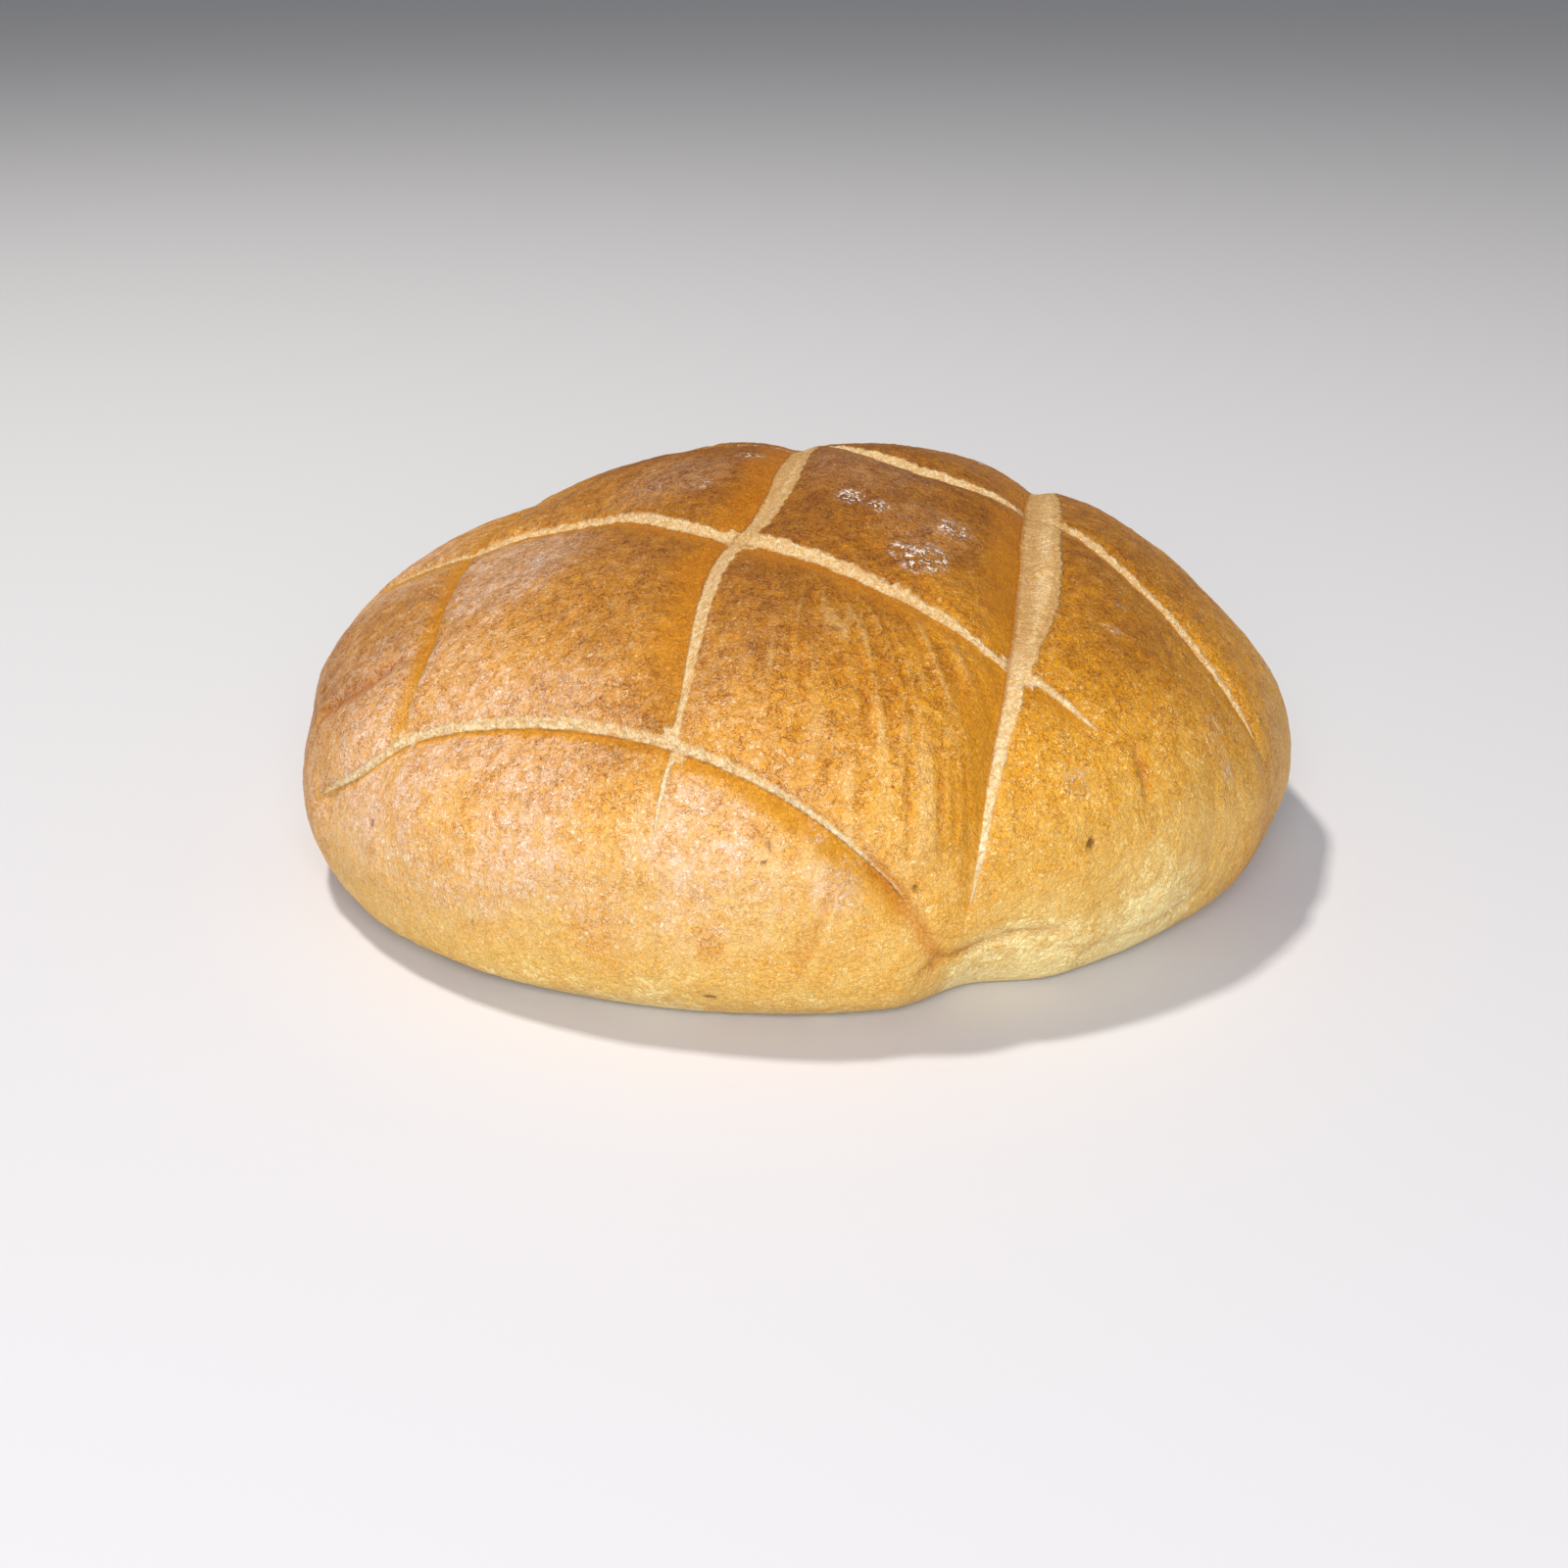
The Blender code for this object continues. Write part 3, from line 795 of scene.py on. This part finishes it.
class Finish:
    """The shader nodes of one finish, with a short name for each kind that is used often."""

    def __init__(self, name):
        self.material = bpy.data.materials.new(name)
        self.material.use_nodes = True
        self.tree = self.material.node_tree
        self.tree.nodes.clear()
        here = self.put("ShaderNodeTexCoord").outputs["Object"]
        scaled = self.put("ShaderNodeVectorMath", {0: here, "Scale": 1.0 / MM}, operation="SCALE")
        self.in_mm = scaled.outputs[0]

    def put(self, kind, inputs=None, **settings):
        """Adds a node. Each input holds a value, or the output that it is linked from."""
        node = self.tree.nodes.new(kind)
        for name, value in settings.items():
            setattr(node, name, value)
        for key, value in (inputs or {}).items():
            if isinstance(value, bpy.types.NodeSocket):
                self.tree.links.new(value, node.inputs[key])
            else:
                node.inputs[key].default_value = value
        return node

    def reading(self, name):
        """One of the numbers that the mesh holds at each point."""
        return self.put("ShaderNodeAttribute", attribute_name=name).outputs["Fac"]

    def math(self, operation, *values):
        return self.put("ShaderNodeMath", dict(enumerate(values)), operation=operation).outputs[0]

    def plus(self, first, second):
        return self.math("ADD", first, second)

    def minus(self, first, second):
        return self.math("SUBTRACT", first, second)

    def times(self, first, second):
        return self.math("MULTIPLY", first, second)

    def between(self, value, low, high, start=0.0, end=1.0):
        """A smooth step from the start value at low to the end value at high, level beyond both."""
        inputs = {"Value": value, "From Min": low, "From Max": high, "To Min": start, "To Max": end}
        return self.put("ShaderNodeMapRange", inputs, interpolation_type="SMOOTHSTEP").outputs[0]

    def blend(self, share, first, second, way="MIX"):
        """The first colour where the share is 0, and the second, or their product, where it is 1."""
        inputs = {0: share, 6: first, 7: second}
        return self.put("ShaderNodeMix", inputs, data_type="RGBA", blend_type=way).outputs[2]

    def noise(self, size, detail=2.0, roughness=0.5, distortion=0.0):
        """Noise from 0 to 1, of a size in millimetres."""
        inputs = {
            "Vector": self.in_mm,
            "Scale": 1.0 / size,
            "Detail": detail,
            "Roughness": roughness,
            "Distortion": distortion,
        }
        return self.put("ShaderNodeTexNoise", inputs).outputs["Fac"]

    def uneven(self, value, amount):
        """Noise turned into a number that swings about 0, by half the amount at most."""
        return self.times(self.minus(value, 0.5), amount)


def skin_pattern(crust):
    """Fine wrinkles of the skin: 1 on raised lines about 0.2 mm wide, and 1 in the furrow lines between them,
    where the colour gets painted shade.

    Each is noise that lies close to one of its values. The speckle, a coarser noise, and pale crust
    thin the furrow lines out.
    """
    grain = crust.noise(0.7, 2.5, 0.55, 0.7)
    from_line = crust.math("ABSOLUTE", crust.minus(grain, 0.53))
    raised = crust.between(from_line, 0.01, 0.05, 1.0, 0.0)
    from_furrow = crust.math("ABSOLUTE", crust.minus(crust.noise(1.1, 3.0, 0.6, 0.8), 0.46))
    furrows_and_shade = crust.between(from_furrow, 0.0, 0.04, 1.0, 0.0)
    speckle = crust.noise(3.0, 4.0, 0.62)
    furrows_and_shade = crust.times(furrows_and_shade, crust.between(speckle, 0.3, 0.62, 0.3, 1.0))
    furrows_and_shade = crust.times(furrows_and_shade, crust.between(crust.reading("browning"), 0.1, 0.6, 0.35, 1.0))
    return grain, raised, furrows_and_shade, speckle


def browned_starch(crust, grain, speckle):
    """Browned sugars and starch: gold to chestnut, mottled over 3 to 20 mm. Gives the browning and colour."""
    brown = crust.plus(crust.reading("browning"), crust.uneven(crust.noise(14.0, 3.0), 0.26))
    brown = crust.plus(brown, crust.uneven(speckle, 0.42))
    brown = crust.plus(brown, crust.uneven(grain, 0.3))
    ramp = crust.put("ShaderNodeValToRGB", {"Fac": brown})
    stops = ramp.color_ramp.elements
    for stop, (place, code) in zip(stops, (BROWNS[0], BROWNS[-1])):
        stop.position = place
        stop.color = linear(code)
    for place, code in BROWNS[1:-1]:
        stops.new(place).color = linear(code)
    return brown, ramp.outputs["Color"]


def add_painted_sheen(crust, colour, brown, raised, furrows_and_shade):
    """Painted sheen over the colour: a pale layer that stands for the front lamp's reflection, on the raised
    wrinkles and in small patches. Painted shade darkens the furrow lines, and painted highlights lie on the
    raised lines.
    """
    painted_sheen = crust.reading("painted_sheen")
    sheen_patches = crust.between(crust.noise(1.9, 4.0, 0.65, 0.4), 0.4, 0.64)
    shown = crust.times(painted_sheen, crust.plus(crust.times(sheen_patches, 0.62), 0.36))
    shown = crust.times(shown, crust.plus(crust.times(raised, 0.6), 0.65))
    shown = crust.times(shown, crust.minus(1.0, crust.times(furrows_and_shade, 0.75)))
    shown = crust.times(shown, crust.between(crust.reading("ridge"), 0.2, 0.75, 0.6, 1.5))
    # Painted sheen: a pale pinkish colour that stands for the front lamp's reflection
    sheen_colour = crust.blend(crust.between(brown, 0.3, 0.8), linear("F2CDB8"), linear("CCA27C"))
    colour = crust.blend(crust.math("MINIMUM", shown, 0.9), colour, sheen_colour)
    # Painted shade: the furrow lines between the wrinkles darkened
    colour = crust.blend(crust.times(furrows_and_shade, 0.9), colour, linear("B0742C"), "MULTIPLY")
    # Painted highlights: pale lines on the raised wrinkles, fewer on dark crust
    painted_highlights = crust.times(raised, crust.between(sheen_patches, 0.2, 0.8, 0.35, 0.95))
    painted_highlights = crust.times(painted_highlights, crust.between(brown, 0.35, 0.95, 1.0, 0.15))
    pale = crust.blend(painted_sheen, linear("FFDA8C"), linear("FFE9D4"))
    return crust.blend(painted_highlights, colour, pale)


def add_painted_ridge_and_shoulder_light(crust, colour, brown):
    """Painted light over the colour: painted highlights on the tops of the stretch ridges, painted shade in
    the low lines between them, and painted shade on the cuts' smooth shoulders in saturated orange.
    """
    ridge = crust.reading("ridge")
    # Painted shade between the stretch ridges, and painted highlights on their tops
    valleys = crust.between(ridge, 0.1, 0.5, 0.3, 0.0)
    colour = crust.blend(valleys, colour, linear("D29A4C"), "MULTIPLY")
    crests = crust.between(ridge, 0.55, 0.9, 0.0, 0.3)
    colour = crust.blend(crests, colour, linear("FFDC96"))
    # Painted shade: the cuts' shoulders, turned away from the front lamp, go saturated orange without sheen
    shoulder = crust.plus(crust.reading("shoulder"), crust.uneven(crust.noise(9.0, 3.0), 1.2))
    orange = crust.blend(brown, linear("E4A22C"), linear("B46A00"))
    return crust.blend(crust.times(crust.between(shoulder, 0.2, 0.9), 0.92), colour, orange)


def add_painted_glints(crust, colour):
    """Painted glints over the colour: small pale specks that stand for highlights, also shiny. Gives the
    colour and the glint mask.
    """
    glint = crust.between(crust.noise(1.0, 3.0, 0.7, 1.0), 0.51, 0.58)
    glint = crust.times(glint, crust.reading("painted_glints"))
    return crust.blend(crust.times(glint, 0.95), colour, linear("FFEBDC")), glint


def cut_open(crust, colour, grain):
    """Torn crumb on the floors of the cuts: a sharp edge at the crease with a painted dark line of shade,
    a ragged one at the lip.

    The crumb is pale with paler threads and toasted near the crown. On wide cuts the part near the crease
    gets a painted shadow, as if cast by the shoulder, and the faint creases get painted shade.
    Gives the colour, the share of floor and the threads.
    """
    torn = crust.reading("torn")
    crease_gap = crust.reading("crease gap")
    ragged = crust.times(crust.uneven(crust.noise(1.6, 3.0, 0.5), 1.6), crust.math("MINIMUM", torn, 1.0))
    past_crease = crust.plus(crease_gap, crust.uneven(grain, 0.5))
    past_lip = crust.plus(crust.reading("lip gap"), ragged)
    floor = crust.times(
        crust.between(past_crease, -0.25, 0.15, 1.0, 0.0),
        crust.between(past_lip, -0.35, 0.25, 1.0, 0.0),
    )
    threads = crust.noise(1.0, 3.0, 0.6, 0.8)
    crumb = crust.blend(crust.between(threads, 0.4, 0.58), linear("EAC284"), linear("FFEBBC"))
    toasted = crust.between(crust.reading("browning"), 0.35, 0.75, 0.0, 0.4)
    crumb = crust.blend(toasted, crumb, linear("D09A4E"))
    from_crease = crust.plus(crease_gap, crust.uneven(crust.noise(2.5, 3.0), 3.0))
    wide = crust.between(torn, 1.2, 2.6)
    # Painted shadow: the part of a wide floor near the crease, as if cast by the shoulder
    painted_shadow = crust.times(crust.between(from_crease, -4.2, -2.2, 0.0, 0.6), wide)
    crumb = crust.blend(painted_shadow, crumb, linear("BE8A44"))
    colour = crust.blend(crust.times(floor, 0.94), colour, crumb)
    # Painted shade: a dark line along the deepest, sharp edge of each cut
    cut_line_shade = crust.times(crust.between(crust.reading("seam gap"), 0.05, 0.55, 1.0, 0.0), 0.5)
    colour = crust.blend(cut_line_shade, colour, linear("A05A10"))
    # Painted shade: the faint creases darkened
    crease = crust.times(crust.reading("crease"), 0.5)
    return crust.blend(crease, colour, linear("D09040"), "MULTIPLY"), floor, threads


def glazed_wheat_crust():
    """Wheat crust, brushed with a milk wash before baking and browned by dry oven heat.

    The browning runs from gold at the foot to chestnut at the crown, with a low gloss. A pale wrinkled
    layer on the side that faces the front lamp is painted sheen, and small pale specks are painted glints.
    Painted shade darkens the furrow lines, the low lines between ridges, the cuts' shoulders and edges,
    the creases and the pits. Where the cuts opened, torn crumb shows pale and dull.
    """
    crust = Finish("glazed wheat crust")
    grain, raised, furrows_and_shade, speckle = skin_pattern(crust)
    brown, colour = browned_starch(crust, grain, speckle)
    colour = add_painted_sheen(crust, colour, brown, raised, furrows_and_shade)
    colour = add_painted_ridge_and_shoulder_light(crust, colour, brown)
    colour, glint = add_painted_glints(crust, colour)
    colour, floor, threads = cut_open(crust, colour, grain)

    # Pits and hairline cracks: painted shade, dark inside them
    painted_pit_shade = crust.between(crust.reading("pit gap"), -0.3, 0.25, 0.8, 0.0)
    colour = crust.blend(painted_pit_shade, colour, linear("6E4720"))

    # The underside: browned by the tray
    underside = crust.reading("underside")
    colour = crust.blend(underside, colour, linear("B07A3A"))

    # A low gloss, a little higher on the painted sheen and the painted glints, and dull on crumb and
    # underside
    roughness = crust.between(crust.noise(2.2, 3.0), 0.3, 0.7, 0.34, 0.46)
    roughness = crust.minus(roughness, crust.times(crust.reading("painted_sheen"), 0.06))
    roughness = crust.plus(roughness, crust.times(floor, 0.3))
    roughness = crust.minus(roughness, crust.times(glint, 0.12))
    roughness = crust.plus(roughness, crust.times(underside, 0.25))

    # The finest relief: wrinkles, speckle, the glint spots and crumb threads
    height = crust.plus(crust.times(grain, 0.9), crust.times(raised, 0.14))
    height = crust.minus(height, crust.times(furrows_and_shade, 0.1))
    height = crust.plus(height, speckle)
    height = crust.plus(height, crust.times(glint, 0.5))
    height = crust.plus(height, crust.times(crust.times(threads, floor), 1.4))
    bump = crust.put("ShaderNodeBump", {"Height": height, "Strength": 1.0, "Distance": 0.5 * MM})

    inputs = {
        "Base Color": colour,
        "Roughness": roughness,
        "Normal": bump.outputs[0],
        "IOR": 1.45,
        "Specular IOR Level": 0.22,
    }
    shader = crust.put("ShaderNodeBsdfPrincipled", inputs)
    crust.put("ShaderNodeOutputMaterial", {"Surface": shader.outputs[0]})
    return crust.material


def make_loaf():
    """The whole loaf, its base centred on the origin."""
    across = np.linspace(-1.0, 1.0, GRID_CELLS + 1)
    u, v = (grid.ravel() for grid in np.meshgrid(across, across))
    edge = np.maximum(np.abs(u), np.abs(v)) > 1.0 - 1e-9
    points, readings = loaf_surface(square_to_flat(u, v))
    points[edge, 2] = 0.0
    middle = (points.max(axis=0) + points.min(axis=0)) / 2
    points[:, :2] -= middle[:2]
    points, base_quads, base_triangles = closed_base(points, readings, rim_loop(GRID_CELLS))
    quads = np.vstack([grid_faces(GRID_CELLS), base_quads])
    mesh = mesh_from("loaf crust", points, quads, base_triangles)
    for name, values in readings.items():
        layer = mesh.attributes.new(name, "FLOAT", "POINT")
        layer.data.foreach_set("value", values.astype(np.float32))
    mesh.materials.append(glazed_wheat_crust())
    loaf = bpy.data.objects.new("loaf_crust", mesh)
    bpy.context.scene.collection.objects.link(loaf)
    return loaf


def make_floor():
    """A wide pale floor, dull, for the loaf to stand on."""
    side = 8.0
    mesh = bpy.data.meshes.new("floor")
    corners = [(-side, -side, 0), (side, -side, 0), (side, side, 0), (-side, side, 0)]
    mesh.from_pydata(corners, [], [(0, 1, 2, 3)])
    material = bpy.data.materials.new("pale floor")
    material.use_nodes = True
    shader = material.node_tree.nodes["Principled BSDF"]
    shader.inputs["Base Color"].default_value = linear("D8D8DB")
    shader.inputs["Roughness"].default_value = 0.6
    shader.inputs["Specular IOR Level"].default_value = 0.3
    mesh.materials.append(material)
    floor = bpy.data.objects.new("floor", mesh)
    bpy.context.scene.collection.objects.link(floor)
    return floor


def aim(thing, place, target):
    """Puts a camera or light at a place and turns it to look at the target."""
    thing.location = place
    thing.rotation_euler = (Vector(target) - Vector(place)).to_track_quat("-Z", "Y").to_euler()


def make_light(name, direction, distance, sides, power, code):
    """A rectangular light at a distance in a direction from the loaf, turned to face it."""
    lamp = bpy.data.lights.new(name, "AREA")
    lamp.shape = "RECTANGLE"
    lamp.size, lamp.size_y = sides
    lamp.energy = power
    lamp.color = linear(code)[:3]
    light = bpy.data.objects.new(name, lamp)
    bpy.context.scene.collection.objects.link(light)
    target = Vector((0.0, 0.0, 0.03))
    aim(light, target + Vector(direction).normalized() * distance, target)


def make_camera():
    """The camera stands in front of the loaf and looks down on it, without any tilt to the side."""
    view = bpy.data.cameras.new("camera")
    view.lens = CAMERA_LENS
    view.sensor_width = 36.0
    view.clip_start = 0.01
    view.dof.use_dof = False
    camera = bpy.data.objects.new("camera", view)
    bpy.context.scene.collection.objects.link(camera)
    target = Vector(CAMERA_TARGET) * MM
    reach = CAMERA_DISTANCE * MM
    back = Vector((0.0, -np.cos(CAMERA_ELEVATION), np.sin(CAMERA_ELEVATION)))
    aim(camera, target + back * reach, target)
    bpy.context.scene.camera = camera


def make_surroundings():
    """Even pale light from all round, a small high lamp on the left and a broad soft lamp in front."""
    world = bpy.data.worlds.new("studio")
    world.use_nodes = True
    background = world.node_tree.nodes["Background"]
    background.inputs["Color"].default_value = linear("F4F6FA")
    background.inputs["Strength"].default_value = 0.25
    bpy.context.scene.world = world
    make_light("high lamp", (-0.30, 0.12, 0.94), 1.3, (0.12, 0.12), 12.0, "FFF8EE")
    make_light("front lamp", (-0.02, -1.0, 0.45), 1.3, (0.8, 0.7), 16.8, "F4F6FF")
    bpy.context.scene.view_settings.view_transform = "Standard"
    bpy.context.scene.view_settings.look = "None"


loaf = make_loaf()
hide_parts("loaf")
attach(loaf, "root")
make_floor()
make_surroundings()
make_camera()
